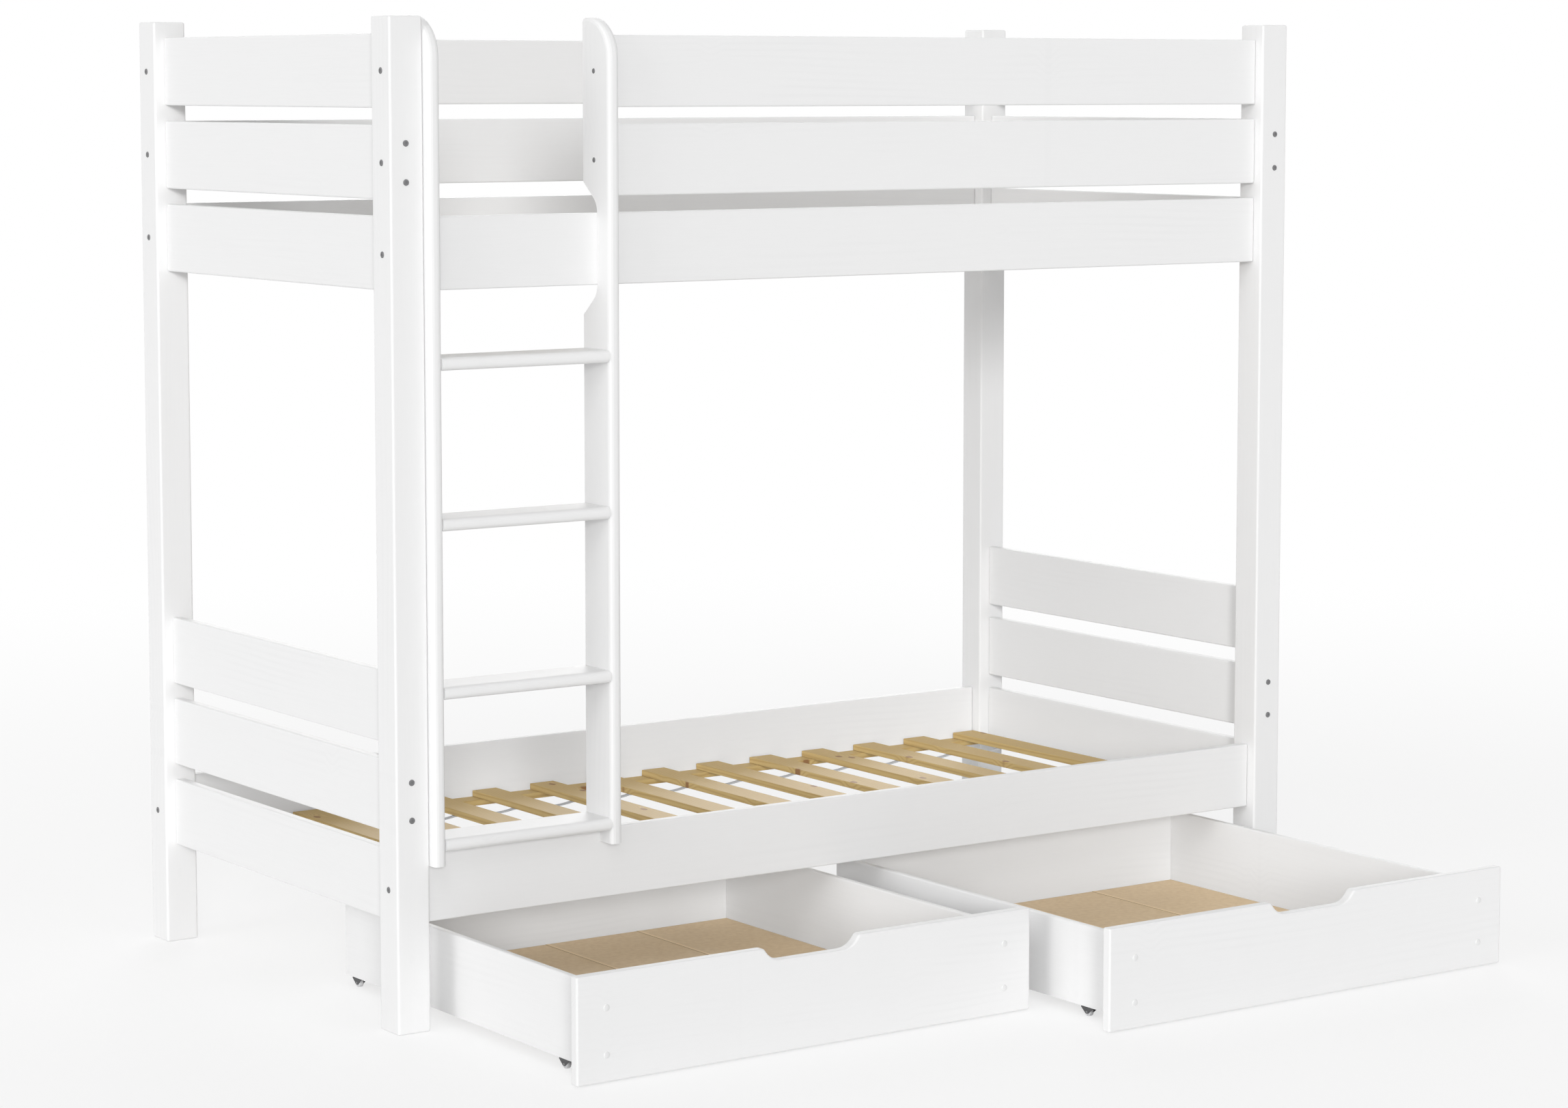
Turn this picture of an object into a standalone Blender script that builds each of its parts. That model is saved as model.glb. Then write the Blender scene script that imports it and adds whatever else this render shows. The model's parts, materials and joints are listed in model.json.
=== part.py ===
"""Bunk bed with a ladder and two roll-out drawers.

Metres, +Z up. X runs along the bed, -Y is the side with the ladder and the drawers, and
everything stands on z = 0. The origin is the middle of the footprint with both drawers
pulled out: the left one by LEFT_DRAWER_OUT, the right one by RIGHT_DRAWER_OUT.
"""
import math

import bmesh
import bpy
from mathutils import Matrix, Vector

# Fits and modelling tolerances
SEAT_GAP = 0.0003
OVERRUN = 0.002
WELD = 0.00001
ARC_SAG = 0.0002
FLAT_ANGLE = math.radians(0.5)
EDGE_ANGLE = math.radians(40)

# Corner posts
POST_SIZE = 0.066
POST_HEIGHT = 1.800
POST_EDGE = 0.004

# Boards between the posts
RAIL_SPAN = 1.950
END_SPAN = 0.858
BOARD_HEIGHT = 0.130
BOARD_THICKNESS = 0.020
BOARD_EDGE = 0.003
BOARD_GAP = 0.030
BOARD_SETBACK = 0.021
BOARDS_PER_END = 3
LOWER_LEVEL = 0.1935
POST_CROWN = 0.030

# Ledgers on the side rails
LEDGER_DEPTH = 0.042
LEDGER_HEIGHT = 0.012
LEDGER_RISE = 0.0065
LEDGER_END_GAP = 0.010

# Slatted bases
SLAT_COUNT = 13
SLAT_WIDTH = 0.0575
SLAT_THICKNESS = 0.013
SLAT_PITCH = 0.1390
SLAT_EDGE = 0.0015
SLAT_END_PLAY = 0.003
SLAT_POST_PLAY = 0.001
STRAP_WIDTH = 0.015
STRAP_THICKNESS = 0.0014
STRAP_INSET = 0.1565
STRAP_SAG = 0.004
STRAP_BITE = 0.0005
STRAP_STEPS = 4

# Ladder
LADDER_WIDTH = 0.347
STRINGER_THICKNESS = 0.023
STRINGER_DEPTH = 0.088
STRINGER_REACH = 0.041
STRINGER_OVER_POST = 0.002
STRINGER_BOTTOM = 0.299
STRINGER_CROWN = 0.075
STRINGER_NOSE = 0.008
STRINGER_HEEL = 0.010
HEEL_START = 0.0003
NOTCH_RADIUS = 0.040
NOTCH_TURN = math.radians(50)
NOTCH_START = 0.0025
NOTCH_TIP = 0.004
RUNG_THICKNESS = 0.023
RUNG_NOSE = 0.010
RUNG_EDGE = 0.003
TOP_RUNG_DROP = 0.128
MIDDLE_RUNG_SHARES = (0.3183, 0.6685)

# Drawers
LEFT_DRAWER_OUT = 0.508
RIGHT_DRAWER_OUT = 0.730
DRAWER_POST_PLAY = 0.003
DRAWER_SPLIT = 0.004
FRONT_THICKNESS = 0.020
FRONT_EDGE = 0.003
FRONT_BOTTOM = 0.002
FRONT_RAIL_PLAY = 0.0035
FRONT_OVERHANG = 0.052
FINGER_FLOOR = 0.130
FINGER_DEPTH = 0.0235
FINGER_TURN = math.radians(56)
FINGER_LIP = 0.009
FINGER_ROOT = 0.040
SIDE_THICKNESS = 0.013
SIDE_HEIGHT = 0.1492
SIDE_LENGTH = 0.883
SIDE_EDGE = 0.003
FLOOR_THICKNESS = 0.0025
FLOOR_PANELS = 4
RABBET_DEPTH = 0.006
STRIP_WIDTH = 0.008
STRIP_PROUD = 0.001

# Castors
WHEEL_RADIUS = 0.0078
WHEEL_EDGE = 0.0012
WHEEL_SIDE_PLAY = 0.0005
WHEEL_TOP_PLAY = 0.0006
WHEEL_STEPS = 24
PIN_RADIUS = 0.0015
PIN_STEPS = 12
PIN_PLAY = 0.0003
FORK_LENGTH = 0.032
FORK_WIDTH = 0.0124
FORK_SHEET = 0.001
FORK_BOSS = 0.003
FORK_BEND = 0.0012
FRONT_CASTOR_SETBACK = 0.107
REAR_CASTOR_SETBACK = 0.040

# Places worked out from the sizes above, measured from the middle of the bed
POST_X = RAIL_SPAN / 2 + POST_SIZE / 2
POST_Y = END_SPAN / 2 + POST_SIZE / 2
RAIL_FACE = END_SPAN / 2 + POST_SIZE - BOARD_SETBACK
END_FACE = RAIL_SPAN / 2 + POST_SIZE - BOARD_SETBACK
BOARD_PITCH = BOARD_HEIGHT + BOARD_GAP
UPPER_LEVEL = POST_HEIGHT - POST_CROWN - BOARD_HEIGHT - (BOARDS_PER_END - 1) * BOARD_PITCH
STRINGER_TOP = POST_HEIGHT + STRINGER_OVER_POST
LADDER_FRONT = -(RAIL_FACE + SEAT_GAP + STRINGER_REACH)
LEFT_STRINGER_X = -RAIL_SPAN / 2 + SEAT_GAP + STRINGER_THICKNESS / 2
RIGHT_STRINGER_X = LEFT_STRINGER_X + STRINGER_THICKNESS + LADDER_WIDTH
LEDGER_TOP = LEDGER_RISE + LEDGER_HEIGHT
FRONT_TOP = LOWER_LEVEL - FRONT_RAIL_PLAY
FRONT_LENGTH = RAIL_SPAN / 2 - DRAWER_POST_PLAY - DRAWER_SPLIT / 2
DRAWER_X = DRAWER_SPLIT / 2 + FRONT_LENGTH / 2
DRAWER_INSIDE = FRONT_LENGTH - 2 * FRONT_OVERHANG - 2 * SIDE_THICKNESS
SIDE_BOTTOM = 2 * WHEEL_RADIUS + WHEEL_TOP_PLAY + FORK_SHEET + SEAT_GAP
SIDE_X = DRAWER_INSIDE / 2 + SIDE_THICKNESS / 2
REAR_REACH = POST_Y + POST_SIZE / 2
FRONT_REACH = RAIL_FACE + max(LEFT_DRAWER_OUT, RIGHT_DRAWER_OUT)
BED_Y = (FRONT_REACH - REAR_REACH) / 2

# How an outline drawn in local X and Y stands up in the room
ACROSS_X = (math.radians(90), 0, math.radians(90))
ACROSS_Y = (math.radians(90), 0, 0)


def clear_scene():
    """Remove the objects that the file opened with."""
    for thing in list(bpy.data.objects):
        bpy.data.objects.remove(thing, do_unlink=True)


def new_collection(name):
    """A collection under the scene's own."""
    collection = bpy.data.collections.new(name)
    bpy.context.scene.collection.children.link(collection)
    return collection


def new_material(name, colour, roughness, metallic=0.0):
    """A plain finish: linear colour, roughness and metallic value."""
    material = bpy.data.materials.new(name)
    material.use_nodes = True
    shader = material.node_tree.nodes["Principled BSDF"]
    shader.inputs["Base Color"].default_value = (*colour, 1.0)
    shader.inputs["Roughness"].default_value = roughness
    shader.inputs["Metallic"].default_value = metallic
    material.diffuse_color = (*colour, 1.0)
    return material


clear_scene()
PARTS = new_collection("bunk_bed_with_drawers")
CUTTERS = new_collection("cutters")
LACQUER = new_material("white_lacquer", (0.83, 0.83, 0.83), 0.45)
PINE = new_material("natural_pine", (0.58, 0.42, 0.22), 0.55)
WEBBING = new_material("grey_webbing", (0.62, 0.62, 0.64), 0.80)
HARDBOARD = new_material("tan_hardboard", (0.45, 0.33, 0.19), 0.60)
STEEL = new_material("castor_steel", (0.22, 0.22, 0.23), 0.40, 0.9)
TYRE = new_material("castor_tyre", (0.58, 0.58, 0.58), 0.50)


def new_empty(name, location, parent=None):
    """An empty that carries pieces, or marks the line that a body moves along."""
    empty = bpy.data.objects.new(name, None)
    empty.location = location
    empty.parent = parent
    PARTS.objects.link(empty)
    return empty


def new_part(name, mesh, location, parent, rotation=(0, 0, 0)):
    """One piece of the bed, placed under its parent."""
    part = bpy.data.objects.new(name, mesh)
    part.location = location
    part.rotation_euler = rotation
    part.parent = parent
    PARTS.objects.link(part)
    return part


def new_cutter(name, mesh, location, parent, rotation=(0, 0, 0)):
    """A helper solid that a Boolean reads and that is no piece itself."""
    cutter = new_part(name, mesh, location, parent, rotation)
    PARTS.objects.unlink(cutter)
    CUTTERS.objects.link(cutter)
    cutter.hide_render = True
    cutter.display_type = 'WIRE'
    return cutter


def finish_mesh(bm, name, material):
    """Turn a bmesh into a smooth-shaded mesh with one material."""
    bmesh.ops.recalc_face_normals(bm, faces=bm.faces)
    mesh = bpy.data.meshes.new(name)
    bm.to_mesh(mesh)
    bm.free()
    mesh.materials.append(material)
    mesh.shade_smooth()
    mesh.set_sharp_from_angle(angle=EDGE_ANGLE)
    return mesh


def box_mesh(name, size, material):
    """A box of the given size about its own centre."""
    bm = bmesh.new()
    bmesh.ops.create_cube(bm, size=1, matrix=Matrix.Diagonal((*size, 1)))
    return finish_mesh(bm, name, material)


def rounded_outline(corners):
    """Points of a closed outline whose corners (x, y, radius) become arcs."""
    points = []
    for index, (x, y, radius) in enumerate(corners):
        corner = Vector((x, y))
        if radius == 0:
            points.append(corner)
            continue
        before = (Vector(corners[index - 1][:2]) - corner).normalized()
        after = (Vector(corners[(index + 1) % len(corners)][:2]) - corner).normalized()
        turn = math.pi - before.angle(after)
        centre = corner + (before + after).normalized() * radius / math.cos(turn / 2)
        arm = corner + before * radius * math.tan(turn / 2) - centre
        way = 1 if after.cross(before) > 0 else -1
        steps = math.ceil(turn / (2 * math.acos(1 - ARC_SAG / radius)))
        for step in range(steps + 1):
            points.append(centre + Matrix.Rotation(way * turn * step / steps, 2) @ arm)
    return points


def outline_mesh(name, corners, thickness, material):
    """A flat outline as thick as given, drawn in local X and Y about z = 0."""
    curve = bpy.data.curves.new(name, 'CURVE')
    curve.dimensions = '2D'
    curve.fill_mode = 'BOTH'
    curve.extrude = thickness / 2
    points = rounded_outline(corners)
    spline = curve.splines.new('POLY')
    spline.points.add(len(points) - 1)
    for place, point in zip(spline.points, points):
        place.co = (point.x, point.y, 0, 1)
    spline.use_cyclic_u = True
    drawing = bpy.data.objects.new(name, curve)
    CUTTERS.objects.link(drawing)
    raw = bpy.data.meshes.new_from_object(drawing.evaluated_get(bpy.context.evaluated_depsgraph_get()))
    bm = bmesh.new()
    bm.from_mesh(raw)
    bmesh.ops.remove_doubles(bm, verts=bm.verts, dist=WELD)
    bmesh.ops.dissolve_limit(bm, angle_limit=FLAT_ANGLE, verts=bm.verts, edges=bm.edges)
    bpy.data.objects.remove(drawing)
    bpy.data.curves.remove(curve)
    bpy.data.meshes.remove(raw)
    return finish_mesh(bm, name, material)


def round_edges(part, radius, segments):
    """Round every edge that is sharper than EDGE_ANGLE."""
    bevel = part.modifiers.new("rounded_edges", 'BEVEL')
    bevel.limit_method = 'ANGLE'
    bevel.angle_limit = EDGE_ANGLE
    bevel.width = radius
    bevel.segments = segments
    bevel.harden_normals = True


def combine(part, tool, operation):
    """Join a tool to a part, or keep only what both hold."""
    step = part.modifiers.new(tool.name, 'BOOLEAN')
    step.operation = operation
    step.solver = 'EXACT'
    step.material_mode = 'TRANSFER'
    step.object = tool


def baked_mesh(part):
    """The part's mesh with its modifiers worked in, for copies that share it."""
    view = part.evaluated_get(bpy.context.evaluated_depsgraph_get())
    return bpy.data.meshes.new_from_object(view)


def add_posts(frame):
    """Four square posts with rounded edges."""
    mesh = box_mesh("corner_post", (POST_SIZE, POST_SIZE, POST_HEIGHT), LACQUER)
    for row, y in (("front", -POST_Y), ("rear", POST_Y)):
        for end, x in (("left", -POST_X), ("right", POST_X)):
            post = new_part(f"post_{row}_{end}", mesh, (x, y, POST_HEIGHT / 2), frame)
            round_edges(post, POST_EDGE, 3)


def add_end_boards(frame):
    """Three boards across each end of each bunk."""
    length = END_SPAN - 2 * SEAT_GAP
    mesh = box_mesh("end_board", (BOARD_THICKNESS, length, BOARD_HEIGHT), LACQUER)
    x = END_FACE - BOARD_THICKNESS / 2
    for end, side in (("left", -1), ("right", 1)):
        for bunk, level in (("lower", LOWER_LEVEL), ("upper", UPPER_LEVEL)):
            for count in range(BOARDS_PER_END):
                z = level + BOARD_HEIGHT / 2 + count * BOARD_PITCH
                board = new_part(f"end_board_{end}_{bunk}_{count + 1}", mesh, (side * x, 0, z), frame)
                round_edges(board, BOARD_EDGE, 2)


def add_side_rails(frame):
    """Four full-length rails, each with the glued ledger that carries the slats."""
    length = RAIL_SPAN - 2 * SEAT_GAP
    mesh = box_mesh("side_rail", (length, BOARD_THICKNESS, BOARD_HEIGHT), LACQUER)
    root = BOARD_THICKNESS / 2
    ledger_size = (length - 2 * LEDGER_END_GAP, LEDGER_DEPTH + root, LEDGER_HEIGHT)
    ledger_mesh = box_mesh("ledger", ledger_size, PINE)
    rail_y = RAIL_FACE - BOARD_THICKNESS / 2
    ledger_y = RAIL_FACE - BOARD_THICKNESS + root / 2 - LEDGER_DEPTH / 2
    for row, side in (("front", -1), ("rear", 1)):
        for bunk, level in (("lower", LOWER_LEVEL), ("upper", UPPER_LEVEL)):
            rail_place = (0, side * rail_y, level + BOARD_HEIGHT / 2)
            rail = new_part(f"side_rail_{row}_{bunk}", mesh, rail_place, frame)
            round_edges(rail, BOARD_EDGE, 2)
            ledger_place = (0, side * ledger_y, level + LEDGER_RISE + LEDGER_HEIGHT / 2)
            ledger = new_cutter(f"ledger_{row}_{bunk}", ledger_mesh, ledger_place, frame)
            combine(rail, ledger, 'UNION')


def add_guard_boards(frame):
    """Two guard boards behind, and two in front that stop at the ladder."""
    post_end = RAIL_SPAN / 2 - SEAT_GAP
    ladder_end = RIGHT_STRINGER_X + STRINGER_THICKNESS / 2 + SEAT_GAP
    y = RAIL_FACE - BOARD_THICKNESS / 2
    for row, side, start in (("front", -1, ladder_end), ("rear", 1, -post_end)):
        size = (post_end - start, BOARD_THICKNESS, BOARD_HEIGHT)
        mesh = box_mesh(f"guard_board_{row}", size, LACQUER)
        for count in range(1, BOARDS_PER_END):
            place = ((start + post_end) / 2, side * y, UPPER_LEVEL + BOARD_HEIGHT / 2 + count * BOARD_PITCH)
            board = new_part(f"guard_board_{row}_{count}", mesh, place, frame)
            round_edges(board, BOARD_EDGE, 2)


def slat_places():
    """Middle of each slat, from the right end, where the last one lies beside the posts."""
    last = RAIL_SPAN / 2 - SLAT_POST_PLAY - SLAT_WIDTH / 2
    return [last - count * SLAT_PITCH for count in range(SLAT_COUNT)]


def slats_mesh(length):
    """All slats of a base in one mesh, with eased long edges."""
    bm = bmesh.new()
    for x in slat_places():
        slat = Matrix.Translation((x, 0, 0)) @ Matrix.Diagonal((SLAT_WIDTH, length, SLAT_THICKNESS, 1))
        bmesh.ops.create_cube(bm, size=1, matrix=slat)
    long_edges = [edge for edge in bm.edges if abs(edge.verts[0].co.y - edge.verts[1].co.y) > length / 2]
    bmesh.ops.bevel(bm, geom=long_edges, offset=SLAT_EDGE, segments=1, affect='EDGES')
    return finish_mesh(bm, "slats", PINE)


def strap_mesh():
    """A webbing strap under the slats that hangs a little between them."""
    places = sorted(slat_places())
    half = SLAT_WIDTH / 2
    path = [(places[0] - half + SLAT_EDGE, 0)]
    for left, right in zip(places, places[1:]):
        start = left + half
        gap = right - half - start
        for step in range(STRAP_STEPS + 1):
            share = step / STRAP_STEPS
            path.append((start + gap * share, -4 * STRAP_SAG * share * (1 - share)))
    path.append((places[-1] + half - SLAT_EDGE, 0))
    top = [(x, z, 0) for x, z in path]
    bottom = [(x, z - STRAP_THICKNESS, 0) for x, z in reversed(path)]
    return outline_mesh("strap", top + bottom, STRAP_WIDTH, WEBBING)


def add_slat_bases(frame):
    """Two roll-out bases: slats held at their pitch by two straps."""
    length = 2 * (RAIL_FACE - BOARD_THICKNESS - SLAT_END_PLAY)
    slats = slats_mesh(length)
    strap = strap_mesh()
    strap_y = length / 2 - STRAP_INSET - STRAP_WIDTH / 2
    for bunk, level in (("lower", LOWER_LEVEL), ("upper", UPPER_LEVEL)):
        underside = level + LEDGER_TOP + SEAT_GAP
        base = new_part(f"slat_base_{bunk}", slats, (0, 0, underside + SLAT_THICKNESS / 2), frame)
        for row, side in (("front", -1), ("rear", 1)):
            place = (0, side * strap_y, underside + STRAP_BITE)
            combine(base, new_cutter(f"strap_{bunk}_{row}", strap, place, frame, ACROSS_Y), 'UNION')


def stringer_corners():
    """Side view of a stringer: local x from its front edge to its back, y up."""
    upper_top = UPPER_LEVEL + BOARD_HEIGHT
    saddle = LOWER_LEVEL + BOARD_HEIGHT + SEAT_GAP
    blend = NOTCH_RADIUS * math.tan(NOTCH_TURN / 2) - NOTCH_START
    slope = (STRINGER_DEPTH - STRINGER_REACH) / math.tan(NOTCH_TURN)
    return [
        (0, STRINGER_BOTTOM, 0),
        (0, STRINGER_TOP, STRINGER_CROWN),
        (STRINGER_DEPTH, STRINGER_TOP, 0),
        (STRINGER_DEPTH, upper_top + blend + slope, NOTCH_TIP),
        (STRINGER_REACH, upper_top + blend, NOTCH_RADIUS),
        (STRINGER_REACH, UPPER_LEVEL - blend, NOTCH_RADIUS),
        (STRINGER_DEPTH, UPPER_LEVEL - blend - slope, NOTCH_TIP),
        (STRINGER_DEPTH, saddle, 0),
        (STRINGER_REACH, saddle, 0),
        (STRINGER_REACH, STRINGER_BOTTOM, 0),
    ]


def weigh_nose(mesh):
    """Mark the edges along a stringer's front, crown and top for the rounded nose."""
    weights = mesh.attributes.new("bevel_weight_edge", 'FLOAT', 'EDGE')
    crown_start = STRINGER_TOP - STRINGER_CROWN
    for edge in mesh.edges:
        first, last = (mesh.vertices[index].co for index in edge.vertices)
        middle = (first + last) / 2
        along = abs(first.z - last.z) < WELD
        in_front = middle.x < WELD
        above = middle.y > crown_start and middle.x < STRINGER_DEPTH - WELD
        weights.data[edge.index].value = 1 if along and (in_front or above) else 0


def add_ladder(frame):
    """Two notched stringers over the side rails, with four rungs between them."""
    stringer = outline_mesh("stringer", stringer_corners(), STRINGER_THICKNESS, LACQUER)
    weigh_nose(stringer)
    heel_x = STRINGER_DEPTH + HEEL_START
    heel_y = STRINGER_TOP + HEEL_START
    heel = outline_mesh("heel_form", [
        (-OVERRUN, STRINGER_BOTTOM - OVERRUN, 0),
        (-OVERRUN, heel_y, 0),
        (heel_x, heel_y, STRINGER_HEEL),
        (heel_x, STRINGER_BOTTOM - OVERRUN, 0),
    ], STRINGER_THICKNESS + 2 * OVERRUN, LACQUER)
    for end, x in (("left", LEFT_STRINGER_X), ("right", RIGHT_STRINGER_X)):
        place = (x, LADDER_FRONT, 0)
        part = new_part(f"ladder_stringer_{end}", stringer, place, frame, ACROSS_X)
        nose = part.modifiers.new("nose", 'BEVEL')
        nose.limit_method = 'WEIGHT'
        nose.width = STRINGER_NOSE
        nose.segments = 3
        nose.use_clamp_overlap = False
        combine(part, new_cutter(f"heel_form_{end}", heel, place, frame, ACROSS_X), 'INTERSECT')
        shading = part.modifiers.new("flat_faces", 'WEIGHTED_NORMAL')
        shading.keep_sharp = True
    rung = rung_mesh()
    lowest = LOWER_LEVEL + BOARD_HEIGHT + SEAT_GAP + RUNG_THICKNESS / 2
    highest = UPPER_LEVEL - TOP_RUNG_DROP
    rung_x = (LEFT_STRINGER_X + RIGHT_STRINGER_X) / 2
    for count, share in enumerate((0, *MIDDLE_RUNG_SHARES, 1)):
        z = lowest + share * (highest - lowest)
        new_part(f"ladder_rung_{count + 1}", rung, (rung_x, LADDER_FRONT + STRINGER_DEPTH / 2, z), frame)


def rung_mesh():
    """A flat rung with a rounded nose and eased back edges."""
    bm = bmesh.new()
    size = (LADDER_WIDTH - 2 * SEAT_GAP, STRINGER_DEPTH, RUNG_THICKNESS)
    bmesh.ops.create_cube(bm, size=1, matrix=Matrix.Diagonal((*size, 1)))
    for side, radius, segments in ((-1, RUNG_NOSE, 5), (1, RUNG_EDGE, 2)):
        edges = [edge for edge in bm.edges
                 if abs(edge.verts[0].co.x - edge.verts[1].co.x) > size[0] / 2
                 and side * edge.verts[0].co.y > STRINGER_DEPTH / 4]
        bmesh.ops.bevel(bm, geom=edges, offset=radius, segments=segments, profile=0.5, affect='EDGES')
    return finish_mesh(bm, "rung", LACQUER)


def front_corners():
    """Front board with the finger notch in its top edge: local x along it, y up."""
    end = FRONT_LENGTH / 2
    notch_floor = FRONT_TOP - FINGER_DEPTH
    root = FINGER_FLOOR / 2 + FINGER_ROOT * math.tan(FINGER_TURN / 2)
    lip = root + FINGER_DEPTH / math.tan(FINGER_TURN)
    return [
        (-end, FRONT_BOTTOM, 0),
        (end, FRONT_BOTTOM, 0),
        (end, FRONT_TOP, 0),
        (lip, FRONT_TOP, FINGER_LIP),
        (root, notch_floor, FINGER_ROOT),
        (-root, notch_floor, FINGER_ROOT),
        (-lip, FRONT_TOP, FINGER_LIP),
        (-end, FRONT_TOP, 0),
    ]


def box_side_corners(inner):
    """Section of a side or back board, rabbeted for the floor: inner is 1 or -1 along local x."""
    outer_x = -inner * SIDE_THICKNESS / 2
    inner_x = inner * SIDE_THICKNESS / 2
    step_x = inner_x - inner * RABBET_DEPTH
    rabbet = FLOOR_THICKNESS + SEAT_GAP
    return [
        (outer_x, 0, 0),
        (step_x, 0, 0),
        (step_x, rabbet, 0),
        (inner_x, rabbet, 0),
        (inner_x, SIDE_HEIGHT, SIDE_EDGE),
        (outer_x, SIDE_HEIGHT, SIDE_EDGE),
    ]


def drawer_meshes():
    """Meshes that both drawers share, by the name of the piece."""
    side_length = SIDE_LENGTH - SEAT_GAP
    back_length = DRAWER_INSIDE - 2 * SEAT_GAP
    return {
        "front": outline_mesh("drawer_front", front_corners(), FRONT_THICKNESS, LACQUER),
        "side_left": outline_mesh("drawer_side_left", box_side_corners(1), side_length, LACQUER),
        "side_right": outline_mesh("drawer_side_right", box_side_corners(-1), side_length, LACQUER),
        "back": outline_mesh("drawer_back", box_side_corners(-1), back_length, LACQUER),
    }


def add_drawer_floor(drawer, name):
    """Floor panels with the strips that join them, lying in the rabbets."""
    tongue = RABBET_DEPTH - SEAT_GAP
    start = FRONT_THICKNESS + SEAT_GAP
    end = FRONT_THICKNESS + SIDE_LENGTH - SIDE_THICKNESS + tongue
    size = (DRAWER_INSIDE + 2 * tongue, end - start, FLOOR_THICKNESS)
    place = (0, (start + end) / 2, SIDE_BOTTOM + FLOOR_THICKNESS / 2)
    floor = new_part(f"{name}_floor", box_mesh("drawer_floor", size, HARDBOARD), place, drawer)
    strip_length = SIDE_LENGTH - SIDE_THICKNESS - 2 * STRIP_PROUD
    strip_size = (STRIP_WIDTH, strip_length, FLOOR_THICKNESS + 2 * STRIP_PROUD)
    strip = box_mesh("joining_strip", strip_size, HARDBOARD)
    panel = DRAWER_INSIDE / FLOOR_PANELS
    strip_y = FRONT_THICKNESS + (SIDE_LENGTH - SIDE_THICKNESS) / 2
    for count in range(1, FLOOR_PANELS):
        strip_place = (count * panel - DRAWER_INSIDE / 2, strip_y, place[2])
        combine(floor, new_cutter(f"{name}_strip_{count}", strip, strip_place, drawer), 'UNION')


def add_drawer(name, x, out, meshes, fork, wheel):
    """One drawer under an empty on its sliding line, with its front face at local y = 0."""
    drawer = new_empty(f"{name}_slide", (x, BED_Y - RAIL_FACE - out, 0))
    front = new_part(f"{name}_front", meshes["front"], (0, FRONT_THICKNESS / 2, 0), drawer, ACROSS_Y)
    round_edges(front, FRONT_EDGE, 2)
    side_y = FRONT_THICKNESS + SEAT_GAP + (SIDE_LENGTH - SEAT_GAP) / 2
    for end, side in (("left", -1), ("right", 1)):
        place = (side * SIDE_X, side_y, SIDE_BOTTOM)
        new_part(f"{name}_side_{end}", meshes[f"side_{end}"], place, drawer, ACROSS_Y)
    back_y = FRONT_THICKNESS + SIDE_LENGTH - SIDE_THICKNESS / 2
    new_part(f"{name}_back", meshes["back"], (0, back_y, SIDE_BOTTOM), drawer, ACROSS_X)
    add_drawer_floor(drawer, name)
    rows = (
        ("front", FRONT_THICKNESS + FRONT_CASTOR_SETBACK),
        ("rear", FRONT_THICKNESS + SIDE_LENGTH - REAR_CASTOR_SETBACK),
    )
    for row, y in rows:
        for end, side in (("left", -1), ("right", 1)):
            axle = (side * SIDE_X, y, WHEEL_RADIUS)
            new_part(f"{name}_fork_{row}_{end}", fork, axle, drawer)
            new_part(f"{name}_wheel_{row}_{end}", wheel, axle, drawer, (0, math.radians(90), 0))


def fork_mesh():
    """A castor fork bent from sheet, with its axle pin; its origin is the axle."""
    plate_top = WHEEL_RADIUS + WHEEL_TOP_PLAY + FORK_SHEET
    plate_bottom = plate_top - FORK_SHEET
    foot = -FORK_BOSS - OVERRUN
    half = FORK_WIDTH / 2
    inside = half - FORK_SHEET
    channel = outline_mesh("fork_channel", [
        (-half, foot, 0),
        (-inside, foot, 0),
        (-inside, plate_bottom, 0),
        (inside, plate_bottom, 0),
        (inside, foot, 0),
        (half, foot, 0),
        (half, plate_top, FORK_BEND),
        (-half, plate_top, FORK_BEND),
    ], FORK_LENGTH + 2 * OVERRUN, STEEL)
    cheek = outline_mesh("fork_cheek", [
        (-FORK_LENGTH / 2, plate_top + OVERRUN, 0),
        (-FORK_LENGTH / 2, plate_bottom - FORK_SHEET, 0),
        (-FORK_BOSS, -FORK_BOSS, FORK_BOSS),
        (FORK_BOSS, -FORK_BOSS, FORK_BOSS),
        (FORK_LENGTH / 2, plate_bottom - FORK_SHEET, 0),
        (FORK_LENGTH / 2, plate_top + OVERRUN, 0),
    ], FORK_WIDTH + 2 * OVERRUN, STEEL)
    pin = bmesh.new()
    turned = Matrix.Rotation(math.radians(90), 4, 'Y')
    pin_length = FORK_WIDTH - FORK_SHEET
    bmesh.ops.create_cone(pin, cap_ends=True, segments=PIN_STEPS, radius1=PIN_RADIUS, radius2=PIN_RADIUS,
                          depth=pin_length, matrix=turned)
    origin = (0, 0, 0)
    blank = new_part("fork_blank", channel, origin, None, ACROSS_Y)
    combine(blank, new_cutter("fork_trim", cheek, origin, None, ACROSS_X), 'INTERSECT')
    combine(blank, new_cutter("fork_pin", finish_mesh(pin, "fork_pin", STEEL), origin, None), 'UNION')
    mesh = baked_mesh(blank)
    mesh.transform(blank.matrix_world)
    mesh.name = "castor_fork"
    bpy.data.objects.remove(blank)
    return mesh


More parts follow.
